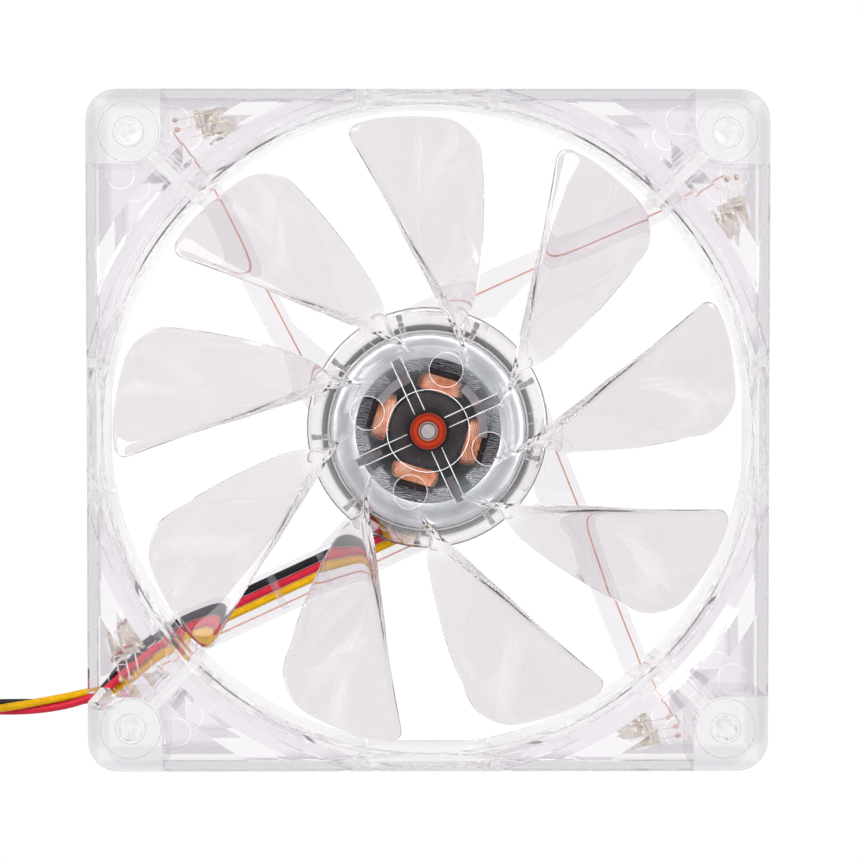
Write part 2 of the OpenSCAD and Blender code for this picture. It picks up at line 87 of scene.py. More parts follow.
def fix_normals(o):
    bm = bmesh.new()
    bm.from_mesh(o.data)
    bmesh.ops.recalc_face_normals(bm, faces=bm.faces[:])
    bm.to_mesh(o.data)
    bm.free()


def sharp(o, deg=35):
    """Smooth shading with sharp edges past an angle."""
    bm = bmesh.new()
    bm.from_mesh(o.data)
    lim = math.radians(deg)
    for e in bm.edges:
        e.smooth = not (len(e.link_faces) == 2 and e.calc_face_angle(0) > lim)
    for f in bm.faces:
        f.smooth = True
    bm.to_mesh(o.data)
    bm.free()


def bevel(o, width, seg=2, deg=30):
    m = o.modifiers.new("edge_round", "BEVEL")
    m.width = width
    m.segments = seg
    m.limit_method = "ANGLE"
    m.angle_limit = math.radians(deg)
    m.use_clamp_overlap = True
    m.harden_normals = False
    return m


def smooth_group(deg=38):
    """Geometry nodes that shade smooth and keep edges past an angle sharp."""
    ng = bpy.data.node_groups.new("smooth_by_angle", "GeometryNodeTree")
    ng.interface.new_socket("Geometry", in_out="INPUT", socket_type="NodeSocketGeometry")
    ng.interface.new_socket("Geometry", in_out="OUTPUT", socket_type="NodeSocketGeometry")
    gi = ng.nodes.new("NodeGroupInput")
    go = ng.nodes.new("NodeGroupOutput")
    ang = ng.nodes.new("GeometryNodeInputMeshEdgeAngle")
    cmpn = ng.nodes.new("FunctionNodeCompare")
    cmpn.data_type = "FLOAT"
    cmpn.operation = "GREATER_THAN"
    cmpn.inputs[1].default_value = math.radians(deg)
    a = ng.nodes.new("GeometryNodeSetShadeSmooth")
    a.domain = "FACE"
    b = ng.nodes.new("GeometryNodeSetShadeSmooth")
    b.domain = "EDGE"
    ng.links.new(gi.outputs[0], a.inputs["Geometry"] if "Geometry" in a.inputs else a.inputs[0])
    a.inputs["Shade Smooth"].default_value = True
    ng.links.new(ang.outputs[0], cmpn.inputs[0])
    ng.links.new(a.outputs[0], b.inputs[0])
    ng.links.new(cmpn.outputs[0], b.inputs["Selection"])
    b.inputs["Shade Smooth"].default_value = False
    ng.links.new(b.outputs[0], go.inputs[0])
    return ng


SMOOTH = smooth_group()


def smooth_mod(o):
    m = o.modifiers.new("smooth", "NODES")
    m.node_group = SMOOTH
    w = o.modifiers.new("face_weight", "WEIGHTED_NORMAL")
    w.keep_sharp = True
    w.weight = 60


def lathe(profile, n=96, closed=True):
    """Turned closed profile of (r, z) in mm about Z."""
    v, f = [], []
    k = len(profile)
    for i in range(n):
        a = 2 * math.pi * i / n
        for r, z in profile:
            v.append((r * math.cos(a) * MM, r * math.sin(a) * MM, z * MM))
    for i in range(n):
        j = (i + 1) % n
        for s in range(k if closed else k - 1):
            t = (s + 1) % k
            f.append((i * k + s, j * k + s, j * k + t, i * k + t))
    return v, f


def catmull(pts, per):
    """Smooth points through pts."""
    P = [Vector(p) for p in pts]
    P = [P[0] * 2 - P[1]] + P + [P[-1] * 2 - P[-2]]
    out = []
    for i in range(1, len(P) - 2):
        for s in range(per):
            t = s / per
            p0, p1, p2, p3 = P[i - 1], P[i], P[i + 1], P[i + 2]
            out.append(0.5 * ((2 * p1) + (p2 - p0) * t + (2 * p0 - 5 * p1 + 4 * p2 - p3) * t * t + (3 * p1 - p0 - 3 * p2 + p3) * t ** 3))
    out.append(P[-2].copy())
    return out


def frames_along(path):
    """Parallel-transport frames: (tangent, side, up) for each point."""
    T = []
    for i in range(len(path)):
        a = path[max(i - 1, 0)]
        b = path[min(i + 1, len(path) - 1)]
        T.append((b - a).normalized())
    u = Vector((0, 0, 1))
    u = (u - T[0] * u.dot(T[0])).normalized()
    out = []
    for t in T:
        u = (u - t * u.dot(t)).normalized()
        out.append((t, t.cross(u), u.copy()))
    return out


def sweep(path, radius, n=12, offset=None, caps=True):
    """Tube along path. offset(i, s) gives side and up shifts of the tube's centre, s the length so far."""
    fr = frames_along(path)
    v, f = [], []
    s = 0.0
    for i, p in enumerate(path):
        if i:
            s += (path[i] - path[i - 1]).length
        t, sd, up = fr[i]
        c = p.copy()
        if offset:
            a, b = offset(i, s)
            c = p + sd * a + up * b
        for k in range(n):
            w = 2 * math.pi * k / n
            v.append(c + radius * (math.cos(w) * sd + math.sin(w) * up))
    m = len(path)
    for i in range(m - 1):
        for k in range(n):
            j = (k + 1) % n
            f.append((i * n + k, i * n + j, (i + 1) * n + j, (i + 1) * n + k))
    if caps:
        f.append(tuple(range(n - 1, -1, -1)))
        f.append(tuple((m - 1) * n + k for k in range(n)))
    return v, f


def merge(parts):
    """Joins [(verts, faces, material index)] into one mesh."""
    V, F, M = [], [], []
    for v, f, mi in parts:
        b = len(V)
        V += list(v)
        F += [tuple(x + b for x in q) for q in f]
        M += [mi] * len(f)
    return V, F, M


# ------------------------------------------------------------------ materials
def principled(name, color, rough=0.5, metal=0.0, spec=0.5, coat=0.0):
    m = bpy.data.materials.new(name)
    m.use_nodes = True
    nt = m.node_tree
    p = nt.nodes["Principled BSDF"]
    p.inputs["Base Color"].default_value = (*color, 1)
    p.inputs["Roughness"].default_value = rough
    p.inputs["Metallic"].default_value = metal
    p.inputs["Specular IOR Level"].default_value = spec
    p.inputs["Coat Weight"].default_value = coat
    return m, nt, p


def coords(nt):
    return nt.nodes.new("ShaderNodeTexCoord").outputs["Object"]


def noise(nt, vec, scale, detail=3.0, rough=0.5):
    n = nt.nodes.new("ShaderNodeTexNoise")
    n.inputs["Scale"].default_value = scale
    n.inputs["Detail"].default_value = detail
    n.inputs["Roughness"].default_value = rough
    nt.links.new(vec, n.inputs["Vector"])
    return n.outputs["Fac"]


def ramp(nt, fac, stops):
    r = nt.nodes.new("ShaderNodeValToRGB")
    while len(r.color_ramp.elements) < len(stops):
        r.color_ramp.elements.new(0.5)
    for e, (pos, c) in zip(r.color_ramp.elements, stops):
        e.position = pos
        e.color = (*c, 1)
    nt.links.new(fac, r.inputs[0])
    return r.outputs[0]


def bump(nt, height, strength, dist, p):
    b = nt.nodes.new("ShaderNodeBump")
    b.inputs["Strength"].default_value = strength
    b.inputs["Distance"].default_value = dist
    nt.links.new(height, b.inputs["Height"])
    nt.links.new(b.outputs[0], p.inputs["Normal"])
    return b


def varied(name, c0, c1, rough, metal=0.0, scale=400, spec=0.5, coat=0.0, bump_s=0.15, bump_d=0.00003):
    """Solid material whose colour and surface vary a little."""
    m, nt, p = principled(name, c0, rough, metal, spec, coat)
    v = coords(nt)
    f = noise(nt, v, scale)
    nt.links.new(ramp(nt, f, [(0.3, c0), (0.7, c1)]), p.inputs["Base Color"])
    bump(nt, f, bump_s, bump_d, p)
    return m


def clear(name, color, rough=0.03, ior=1.45, wave=0.02, wave_scale=60, fine=0.0):
    """Moulded clear plastic. Lamps pass through it, so it casts no hard shadow."""
    m, nt, p = principled(name, color, rough, 0.0, 0.5)
    p.inputs["Transmission Weight"].default_value = 1.0
    p.inputs["IOR"].default_value = ior
    v = coords(nt)
    f = noise(nt, v, wave_scale, 2.0, 0.45)
    bump(nt, f, wave, 0.0006, p)
    out = nt.nodes["Material Output"]
    tr = nt.nodes.new("ShaderNodeBsdfTransparent")
    tr.inputs[0].default_value = (0.96, 0.955, 0.965, 1)
    mix = nt.nodes.new("ShaderNodeMixShader")
    lp = nt.nodes.new("ShaderNodeLightPath")
    nt.links.new(lp.outputs["Is Shadow Ray"], mix.inputs[0])
    nt.links.new(p.outputs[0], mix.inputs[1])
    nt.links.new(tr.outputs[0], mix.inputs[2])
    nt.links.new(mix.outputs[0], out.inputs["Surface"])
    return m


M_FRAME = clear("clear_frame", (0.89, 0.872, 0.888), 0.035, 1.40, 0.05, 55)
M_ROTOR = clear("clear_rotor", (0.82, 0.785, 0.807), 0.03, 1.36, 0.03, 45)


def zone_color(mat, kind, stops):
    """Base colour by place: darker on the frame's deep side walls, painted shade for the light lost along their
    depth; lighter on the rotor's thick hub than on its thin blades.
    """
    nt = mat.node_tree
    p = nt.nodes["Principled BSDF"]
    sep = nt.nodes.new("ShaderNodeSeparateXYZ")
    nt.links.new(coords(nt), sep.inputs[0])
    if kind == "square":
        ax = []
        for i in (0, 1):
            a = nt.nodes.new("ShaderNodeMath")
            a.operation = "ABSOLUTE"
            nt.links.new(sep.outputs[i], a.inputs[0])
            ax.append(a.outputs[0])
        m = nt.nodes.new("ShaderNodeMath")
        m.operation = "MAXIMUM"
        nt.links.new(ax[0], m.inputs[0])
        nt.links.new(ax[1], m.inputs[1])
        val = m.outputs[0]
    else:
        cb = nt.nodes.new("ShaderNodeCombineXYZ")
        nt.links.new(sep.outputs[0], cb.inputs[0])
        nt.links.new(sep.outputs[1], cb.inputs[1])
        ln = nt.nodes.new("ShaderNodeVectorMath")
        ln.operation = "LENGTH"
        nt.links.new(cb.outputs[0], ln.inputs[0])
        val = ln.outputs["Value"]
    sc = nt.nodes.new("ShaderNodeMath")
    sc.operation = "MULTIPLY"
    sc.inputs[1].default_value = 1 / 0.06
    nt.links.new(val, sc.inputs[0])
    nt.links.new(ramp(nt, sc.outputs[0], stops), p.inputs["Base Color"])


# painted shade: the frame's base colour darkens on its deep side walls
zone_color(M_FRAME, "square", [(0.962, (0.897, 0.879, 0.896)), (0.975, (0.705, 0.692, 0.712))])
zone_color(M_ROTOR, "round", [(0.355, (0.925, 0.90, 0.90)), (0.40, (0.808, 0.775, 0.796))])


def skin(mat, fac, color):
    """Lays a thin matt haze over clear plastic, even or by a factor."""
    nt = mat.node_tree
    last = [n for n in nt.nodes if n.type == "MIX_SHADER"][0]
    d = nt.nodes.new("ShaderNodeBsdfDiffuse")
    if isinstance(color, tuple):
        d.inputs[0].default_value = (*color, 1)
    else:
        nt.links.new(color, d.inputs[0])
    m = nt.nodes.new("ShaderNodeMixShader")
    if isinstance(fac, float):
        m.inputs[0].default_value = fac
    else:
        nt.links.new(fac, m.inputs[0])
    nt.links.new(nt.nodes["Principled BSDF"].outputs[0], m.inputs[1])
    nt.links.new(d.outputs[0], m.inputs[2])
    nt.links.new(m.outputs[0], last.inputs[1])


def maths(nt, op, a, b=None):
    n = nt.nodes.new("ShaderNodeMath")
    n.operation = op
    for i, x in enumerate((a, b)):
        if x is None:
            continue
        if isinstance(x, (int, float)):
            n.inputs[i].default_value = x
        else:
            nt.links.new(x, n.inputs[i])
    return n.outputs[0]


def hub_haze(nt):
    """Frosted band of the hub disc, left clear in four round windows."""
    v = coords(nt)
    mp = nt.nodes.new("ShaderNodeMapping")
    mp.inputs["Rotation"].default_value = (0, 0, math.radians(-73.5))
    nt.links.new(v, mp.inputs["Vector"])
    sep = nt.nodes.new("ShaderNodeSeparateXYZ")
    nt.links.new(mp.outputs[0], sep.inputs[0])
    ax, ay = maths(nt, "ABSOLUTE", sep.outputs[0]), maths(nt, "ABSOLUTE", sep.outputs[1])
    hi = maths(nt, "SUBTRACT", maths(nt, "MAXIMUM", ax, ay), 0.0112)
    lo = maths(nt, "MINIMUM", ax, ay)
    dist = maths(nt, "SQRT", maths(nt, "ADD", maths(nt, "MULTIPLY", hi, hi), maths(nt, "MULTIPLY", lo, lo)))
    out = nt.nodes.new("ShaderNodeMapRange")
    out.inputs["From Min"].default_value = 0.0029
    out.inputs["From Max"].default_value = 0.0031
    nt.links.new(dist, out.inputs["Value"])
    rad = maths(nt, "SQRT", maths(nt, "ADD", maths(nt, "MULTIPLY", ax, ax), maths(nt, "MULTIPLY", ay, ay)))
    band = ramp(nt, maths(nt, "MULTIPLY", rad, 1 / 0.06), [(r / 60, (a, a, a)) for r, a in ((3.2, 0.0), (4.0, 0.02), (8.2, 0.03), (9.8, 0.06), (11.4, 0.16), (13.0, 0.24), (14.3, 0.12), (15.2, 0.0), (21.0, 0.0), (25.0, 0.045))])
    blot = ramp(nt, noise(nt, v, 300, 4, 0.6), [(0.32, (0.45, 0.45, 0.45)), (0.66, (1.0, 1.0, 1.0))])
    tone = ramp(nt, maths(nt, "MULTIPLY", rad, 1 / 0.06), [(0.30, (0.30, 0.325, 0.35)), (0.36, (0.44, 0.428, 0.44))])
    return maths(nt, "MULTIPLY", maths(nt, "MULTIPLY", band, out.outputs[0]), blot), tone


def rib_painted_shade(mat):
    """Painted shade: the four diagonal corner ribs get a darker base colour than the walls beside them."""
    nt = mat.node_tree
    p = nt.nodes["Principled BSDF"]
    base = p.inputs["Base Color"].links[0].from_socket
    sep = nt.nodes.new("ShaderNodeSeparateXYZ")
    nt.links.new(coords(nt), sep.inputs[0])
    ax, ay = maths(nt, "ABSOLUTE", sep.outputs[0]), maths(nt, "ABSOLUTE", sep.outputs[1])
    near = maths(nt, "LESS_THAN", maths(nt, "ABSOLUTE", maths(nt, "SUBTRACT", ax, ay)), 0.0014)
    far = maths(nt, "MULTIPLY", maths(nt, "GREATER_THAN", maths(nt, "MINIMUM", ax, ay), 0.0400), maths(nt, "LESS_THAN", maths(nt, "MAXIMUM", ax, ay), 0.0484))
    mix = nt.nodes.new("ShaderNodeMixRGB")
    mix.blend_type = "MULTIPLY"
    nt.links.new(maths(nt, "MULTIPLY", near, far), mix.inputs[0])
    nt.links.new(base, mix.inputs[1])
    # painted shade: the colour that darkens the corner ribs
    mix.inputs[2].default_value = (0.90, 0.895, 0.90, 1)
    nt.links.new(mix.outputs[0], p.inputs["Base Color"])


rib_painted_shade(M_FRAME)
skin(M_FRAME, 0.045, (0.66, 0.645, 0.66))
skin(M_ROTOR, *hub_haze(M_ROTOR.node_tree))
M_LAMP = clear("clear_lamp", (0.74, 0.69, 0.60), 0.06, 1.45, 0.03, 300)


def veil(name, color, alpha, rough=0.4):
    """Thin frosted or shaded skin of the clear plastic: part see-through, part solid."""
    m, nt, p = principled(name, color, rough, 0, 0.4)
    bump(nt, noise(nt, coords(nt), 1500), 0.2, 0.00002, p)
    tr = nt.nodes.new("ShaderNodeBsdfTransparent")
    mix = nt.nodes.new("ShaderNodeMixShader")
    mix.inputs[0].default_value = alpha
    nt.links.new(tr.outputs[0], mix.inputs[1])
    nt.links.new(p.outputs[0], mix.inputs[2])
    nt.links.new(mix.outputs[0], nt.nodes["Material Output"].inputs["Surface"])
    return m


# frosted skin; it also draws the painted highlight lines on the hub disc
M_FROST_AND_HIGHLIGHT = veil("frost_and_painted_highlight", (0.92, 0.92, 0.92), 0.85, 0.3)
# painted shade: the grey edge lines at the screw holes
M_EDGE_SHADE = veil("painted_edge_shade_grey", (0.34, 0.335, 0.35), 0.42)
M_CORE = veil("shaded_core", (0.05, 0.035, 0.032), 0.75)
M_WEB = veil("shaded_web", (0.07, 0.07, 0.068), 0.68)
M_RIM = veil("shaded_rim", (0.10, 0.085, 0.09), 0.75)
M_GUIDE, nt, p = principled("guide_natural", (0.36, 0.33, 0.34), 0.3)
p.inputs["Transmission Weight"].default_value = 0.35
bump(nt, noise(nt, coords(nt), 900), 0.2, 0.00003, p)

M_BRASS = varied("tube_black", (0.014, 0.009, 0.010), (0.026, 0.018, 0.019), 0.4, 0, 900)
M_BRONZE = varied("bronze_bearing", (0.42, 0.20, 0.08), (0.52, 0.28, 0.12), 0.45, 1.0, 2500, bump_s=0.4)
M_NYLON = varied("nylon_white", (0.80, 0.79, 0.75), (0.86, 0.85, 0.81), 0.45, 0, 800)
M_FOIL = varied("label_foil", (0.58, 0.59, 0.61), (0.66, 0.67, 0.69), 0.38, 0.85, 300)
M_CHIP = varied("chip_black", (0.012, 0.012, 0.014), (0.02, 0.02, 0.022), 0.5, 0, 2500)
M_CAP = varied("capacitor_tan", (0.50, 0.32, 0.10), (0.56, 0.38, 0.14), 0.4, 0, 2000)
M_TIE = varied("tie_black", (0.012, 0.012, 0.013), (0.02, 0.02, 0.022), 0.42, 0, 1500)
M_PLUG = varied("plug_white", (0.74, 0.73, 0.68), (0.80, 0.79, 0.74), 0.4, 0, 700)
M_GOLD = varied("contact_gold", (0.70, 0.48, 0.16), (0.76, 0.55, 0.22), 0.25, 1.0, 1200)
M_CLIP = varied("clip_steel", (0.20, 0.20, 0.21), (0.28, 0.28, 0.30), 0.35, 1.0, 1500)
M_TIN = varied("tinned_lead", (0.50, 0.46, 0.40), (0.66, 0.61, 0.54), 0.4, 0.5, 2500)
M_SOLDER = varied("solder_joint", (0.40, 0.24, 0.19), (0.55, 0.38, 0.32), 0.35, 0.7, 1800, bump_s=0.5)
M_W_BLACK = varied("pvc_black", (0.004, 0.004, 0.006), (0.010, 0.009, 0.012), 0.40, 0, 700, spec=0.18, coat=0.05)
M_W_RED = varied("pvc_red", (0.36, 0.004, 0.020), (0.45, 0.008, 0.028), 0.42, 0, 700, spec=0.2, coat=0.03)
M_W_YELLOW = varied("pvc_yellow", (0.46, 0.245, 0.001), (0.54, 0.300, 0.002), 0.46, 0, 700, spec=0.1, coat=0.0)
M_ENAMEL = varied("enamel_wire", (0.50, 0.20, 0.12), (0.62, 0.28, 0.17), 0.3, 0.5, 1500)

# Copper windings: enamel over copper, in random darker and lighter patches; the lightest patches are painted
# highlights
M_COPPER, nt, p = principled("winding_copper", (0.86, 0.36, 0.19), 0.36, 0.6, 0.6, 0.2)
f = noise(nt, coords(nt), 330, 2)
# the brightest ramp stop is a painted highlight
nt.links.new(ramp(nt, f, [(0.30, (0.74, 0.24, 0.10)), (0.5, (0.98, 0.46, 0.26)), (0.68, (1.0, 0.66, 0.47))]), p.inputs["Base Color"])
bump(nt, f, 0.15, 0.00003, p)

# Stacked laminations: dark lines along Z
M_LAM, nt, p = principled("laminated_steel", (0.14, 0.14, 0.16), 0.42, 0.75)
v = coords(nt)
mp = nt.nodes.new("ShaderNodeMapping")
mp.inputs["Scale"].default_value = (1.0, 3.4, 2.0)
mp.inputs["Rotation"].default_value = (0, 0, 0.35)
nt.links.new(v, mp.inputs["Vector"])
wv = nt.nodes.new("ShaderNodeTexWave")
wv.bands_direction = "Y"
wv.inputs["Scale"].default_value = 260
wv.inputs["Distortion"].default_value = 9.0
wv.inputs["Detail"].default_value = 3
wv.inputs["Detail Scale"].default_value = 1.6
nt.links.new(mp.outputs[0], wv.inputs["Vector"])
mixn = noise(nt, mp.outputs[0], 900, 4)
mul = nt.nodes.new("ShaderNodeMath")
mul.operation = "MULTIPLY"
nt.links.new(wv.outputs["Fac"], mul.inputs[0])
nt.links.new(mixn, mul.inputs[1])
nt.links.new(ramp(nt, mul.outputs[0], [(0.05, (0.12, 0.118, 0.135)), (0.20, (0.46, 0.46, 0.50)), (0.38, (0.94, 0.94, 0.98))]), p.inputs["Base Color"])
bump(nt, mul.outputs[0], 0.7, 0.00012, p)

# Black bobbin
M_BOBBIN = varied("bobbin_black", (0.010, 0.006, 0.008), (0.024, 0.014, 0.017), 0.32, 0, 500, coat=0.25)

# Green board with tracks
M_PCB, nt, p = principled("board_green", (0.03, 0.16, 0.06), 0.35, 0.0, 0.5, 0.3)
vo = nt.nodes.new("ShaderNodeTexVoronoi")
vo.feature = "DISTANCE_TO_EDGE"
vo.inputs["Scale"].default_value = 260
nt.links.new(coords(nt), vo.inputs["Vector"])
nt.links.new(ramp(nt, vo.outputs["Distance"], [(0.04, (0.006, 0.014, 0.008)), (0.07, (0.012, 0.030, 0.018))]), p.inputs["Base Color"])
bump(nt, vo.outputs["Distance"], 0.3, 0.00003, p)

# Orange-red insert: glossy, darker toward its edges
M_INSERT, nt, p = principled("insert_orange", (0.62, 0.085, 0.012), 0.34, 0.0, 0.12, 0.0)
sep = nt.nodes.new("ShaderNodeSeparateXYZ")
v = coords(nt)
nt.links.new(v, sep.inputs[0])
comb = nt.nodes.new("ShaderNodeCombineXYZ")
nt.links.new(sep.outputs[0], comb.inputs[0])
nt.links.new(sep.outputs[1], comb.inputs[1])
ln = nt.nodes.new("ShaderNodeVectorMath")
ln.operation = "LENGTH"
nt.links.new(comb.outputs[0], ln.inputs[0])
sc = nt.nodes.new("ShaderNodeMath")
sc.operation = "MULTIPLY"
sc.inputs[1].default_value = 1 / 0.0033
nt.links.new(ln.outputs["Value"], sc.inputs[0])
nt.links.new(ramp(nt, sc.outputs[0], [(0.46, (0.30, 0.24, 0.22)), (0.53, (0.12, 0.012, 0.004)), (0.70, (0.33, 0.030, 0.008)), (0.86, (0.19, 0.012, 0.004)), (0.93, (0.20, 0.02, 0.012)), (0.99, (0.25, 0.07, 0.05))]), p.inputs["Base Color"])
bump(nt, noise(nt, v, 1500), 0.1, 0.00003, p)

# Steel shaft end and yoke
M_SHAFT = varied("shaft_steel", (0.27, 0.23, 0.23), (0.36, 0.32, 0.32), 0.42, 0.25, 1400)
M_YOKE, nt, p = principled("yoke_steel", (0.52, 0.56, 0.58), 0.34, 0.85)
v = coords(nt)
f = noise(nt, v, 150, 5, 0.6)
nt.links.new(ramp(nt, f, [(0.25, (0.42, 0.46, 0.48)), (0.55, (0.60, 0.64, 0.66)), (0.8, (0.76, 0.79, 0.81))]), p.inputs["Base Color"])
bump(nt, f, 0.35, 0.00010, p)
M_MAGNET = varied("magnet_ferrite", (0.045, 0.042, 0.045), (0.075, 0.07, 0.073), 0.55, 0.2, 1500, bump_s=0.4)


def set_mat(node, mat):
    me = N[node].data
    me.materials.clear()
    me.materials.append(mat)


for node, mat in {
    "housing_frame": M_FRAME, "bearing_tube": M_BRASS, "sleeve_bearing": M_BRONZE, "thrust_pad": M_NYLON,
    "rear_label": M_FOIL, "circuit_board": M_PCB, "driver_chip": M_CHIP, "smoothing_capacitor": M_CAP,
    "hall_sensor": M_CHIP, "stator_core": M_LAM, "bobbin_lower": M_BOBBIN, "bobbin_upper": M_BOBBIN,
    "winding_guide_1": M_GUIDE, "winding_guide_2": M_GUIDE, "lead_tie": M_TIE, "plug_body": M_PLUG,
    "plug_contact_1": M_GOLD, "plug_contact_2": M_GOLD, "plug_contact_3": M_GOLD, "hub_insert": M_INSERT,
    "shaft": M_SHAFT, "retaining_clip": M_CLIP, "slip_washer": M_NYLON, "rotor_yoke": M_YOKE, "magnet_ring": M_MAGNET,
}.items():
    set_mat(node, mat)

for node, w in {"housing_frame": 0.00022, "stator_core": 0.0001, "bobbin_upper": 0.00015, "bobbin_lower": 0.00015,
                "winding_guide_1": 0.0001, "winding_guide_2": 0.0001, "plug_body": 0.0002, "lead_tie": 0.0002,
                "hub_insert": 0.00015, "driver_chip": 0.0001, "smoothing_capacitor": 0.0001, "hall_sensor": 0.0001,
                "circuit_board": 0.0001, "retaining_clip": 0.00008, "magnet_ring": 0.0002, "bearing_tube": 0.0001}.items():
    bevel(N[node], w)
    smooth_mod(N[node])
for node in ("shaft", "slip_washer", "sleeve_bearing"):
    smooth_mod(N[node])


# ------------------------------------------------------------------ free lead
def mm(*p):
    return Vector(p) * MM


COIL_C = (-101.0, -34.5)
COIL_R = 17.5
ROUTE_RUN = [(-60, -49.2, 1.7), (-63, -49.9, 1.7), (-67, -50.7, 1.7), (-72, -51.3, 1.7), (-78, -51.7, 1.9), (-85, -51.9, 2.2), (-93, -52, 2.4), (-101, -52, 2.5)]
ROUTE_TAIL = [(-101, -52, 12.4), (-106, -52.6, 12.2), (-111, -53.4, 10.6), (-116, -54.2, 7.8), (-120.5, -54.8, 4.9), (-124, -55, 3.4), (-128, -55, 2.9)]
route = [mm(*p) for p in ROUTE_RUN[:-1]]
TURNS = 3
for i in range(TURNS * 18 + 1):
    a = math.radians(-90 - 20 * i)
    route.append(mm(COIL_C[0] + COIL_R * math.cos(a), COIL_C[1] + COIL_R * math.sin(a), 2.5 + 9.9 * i / (TURNS * 18)))
route += [mm(*p) for p in ROUTE_TAIL[1:]]
fine = catmull(route, 4)
lead_len = sum((fine[i + 1] - fine[i]).length for i in range(len(fine) - 1))
print("lead length mm", round(lead_len * 1000, 1))

parts = []
for k in range(3):
    # the strands start as the three wires leave the notch: yellow low, red on top, black low
    base = math.radians([210, 90, 330][k])

    def off(i, s, base=base):
        w = base + 2 * math.pi * s / 0.055
        return (0.000862 * math.cos(w), 0.000862 * math.sin(w))

    v, f = sweep(fine, 0.00073, 10, off)
    parts.append((v, f, k))
V, F, MI = merge(parts)
lead = new_obj("free_lead", V, F, [M_W_BLACK, M_W_RED, M_W_YELLOW], "housing", True, MI)
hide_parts("lead_run", "lead_coil", "lead_tail")

# ------------------------------------------------------------------ impeller
TIP = 56.0
BT = 1.7
STATIONS = [
    [12.2, 54.5, 23.9, 55.6, 22.9, 0.9], [15, 63.5, 24.2, 65.0, 22.2, 1.3], [18, 73.2, 23.9, 71.4, 16.6, 1.6], [20.5, 80.6, 23.7, 71.4, 8.4, BT],
    [23, 85.6, 23.5, 70.3, 5.8, BT], [26.5, 90.2, 23.3, 70.6, 5.5, BT - 0.1], [32, 95.3, 23.1, 72.5, 5.5, BT - 0.2], [38, 98.7, 23.0, 74.6, 5.5, BT - 0.3],
    [44, 101.5, 23.0, 76.6, 5.5, BT - 0.4], [50, 103.7, 23.0, 78.4, 5.6, BT - 0.5], [54, 104.9, 22.9, 79.6, 5.8, BT - 0.5], [56, 105.3, 22.7, 80.6, 6.2, BT - 0.5]]


def station(t):
    """Smooth blade station at 0..11."""
    n = len(STATIONS)
    i = min(int(t), n - 2)
    u = t - i
    p1, p2 = STATIONS[i], STATIONS[i + 1]
    p0 = STATIONS[i - 1] if i else [2 * a - b for a, b in zip(p1, p2)]
    p3 = STATIONS[i + 2] if i + 2 < n else [2 * b - a for a, b in zip(p1, p2)]
    return [0.5 * ((2 * b) + (c - a) * u + (2 * a - 5 * b + 4 * c - d) * u * u + (3 * b - a - 3 * c + d) * u ** 3) for a, b, c, d in zip(p0, p1, p2, p3)]


def blade_mesh(rot, NC=18):
    def at_radius(r):
        """Station number whose radius is r."""
        a, b = 8.0, 11.0
        for _ in range(40):
            m = (a + b) / 2
            if station(m)[0] < r:
                a = m
            else:
                b = m
        return (a + b) / 2

    ts = [t for t in (11 * (i / 30) ** 0.92 for i in range(29)) if station(t)[0] < TIP - 4.0]
    ts += [at_radius(TIP - e) for e in (3.6, 3.1, 2.6, 2.2, 1.85, 1.5, 1.2, 0.92, 0.68, 0.48, 0.32, 0.19, 0.09, 0.03)] + [11.0]
    NR = len(ts) - 1
    top, bot = [], []
    for t in ts:
        w = station(t)
        dth = abs(math.radians(w[3] - w[1]))
        chord = math.hypot(w[0] * dth, w[4] - w[2])
        # the tip's two corners are rounded: 2.6 mm in front, 3.6 mm behind
        e1 = max(0.0, TIP - w[0])
        c_lo = (2.6 - math.sqrt(2.6 ** 2 - (2.6 - e1) ** 2)) / chord if e1 < 2.6 else 0.0
        c_hi = 1 - (3.6 - math.sqrt(3.6 ** 2 - (3.6 - e1) ** 2)) / chord if e1 < 3.6 else 1.0
        for j in range(NC + 1):
            c = lerp(c_lo, c_hi, 0.5 - 0.5 * math.cos(math.pi * j / NC))
            lift = (w[0] / TIP) ** 12 * (0.8 * max(0, 1 - c / 0.3) ** 2 + 2.3 * max(0, (c - 0.72) / 0.28) ** 2)
            a = math.radians(lerp(w[1], w[3], c) + rot)
            z = lerp(w[2], w[4], c + 0.35 * c * (c - 1))
            r = w[0] - lift
            rd = w[0] * math.radians(w[3] - w[1])
            dz = (w[4] - w[2]) * (1 + 0.35 * (2 * c - 1))
            nrm = Vector((dz * math.sin(a), -dz * math.cos(a), rd)).normalized()
            e = abs(2 * (0.5 - 0.5 * math.cos(math.pi * j / NC)) - 1)
            th = w[5] * max(0.30, math.sqrt(max(0.0, 1 - e ** 6))) * (1 - 0.12 * e * e)
            th *= 1 - 0.3 * max(0.0, 1 - e1 / 0.7) ** 2
            P = Vector((r * math.cos(a), r * math.sin(a), z))
            top.append((P + nrm * th / 2) * MM)
            bot.append((P - nrm * th / 2) * MM)
    n = NC + 1
    o = len(top)
    f = []
    for i in range(NR):
        for j in range(NC):
            f.append((i * n + j, i * n + j + 1, (i + 1) * n + j + 1, (i + 1) * n + j))
            f.append((o + i * n + j, o + (i + 1) * n + j, o + (i + 1) * n + j + 1, o + i * n + j + 1))
    for j in range(NC):
        f.append((j, o + j, o + j + 1, j + 1))
        e = NR * n
        f.append((e + j, e + j + 1, o + e + j + 1, o + e + j))
    for i in range(NR):
        f.append((i * n, (i + 1) * n, o + (i + 1) * n, o + i * n))
        f.append((i * n + NC, o + i * n + NC, o + (i + 1) * n + NC, (i + 1) * n + NC))
    return top + bot, f


def tmp_obj(name, v, f):
    me = bpy.data.meshes.new(name)
    me.from_pydata([tuple(x) for x in v], [], f)
    o = bpy.data.objects.new(name, me)
    scene.collection.objects.link(o)
    fix_normals(o)
    return o


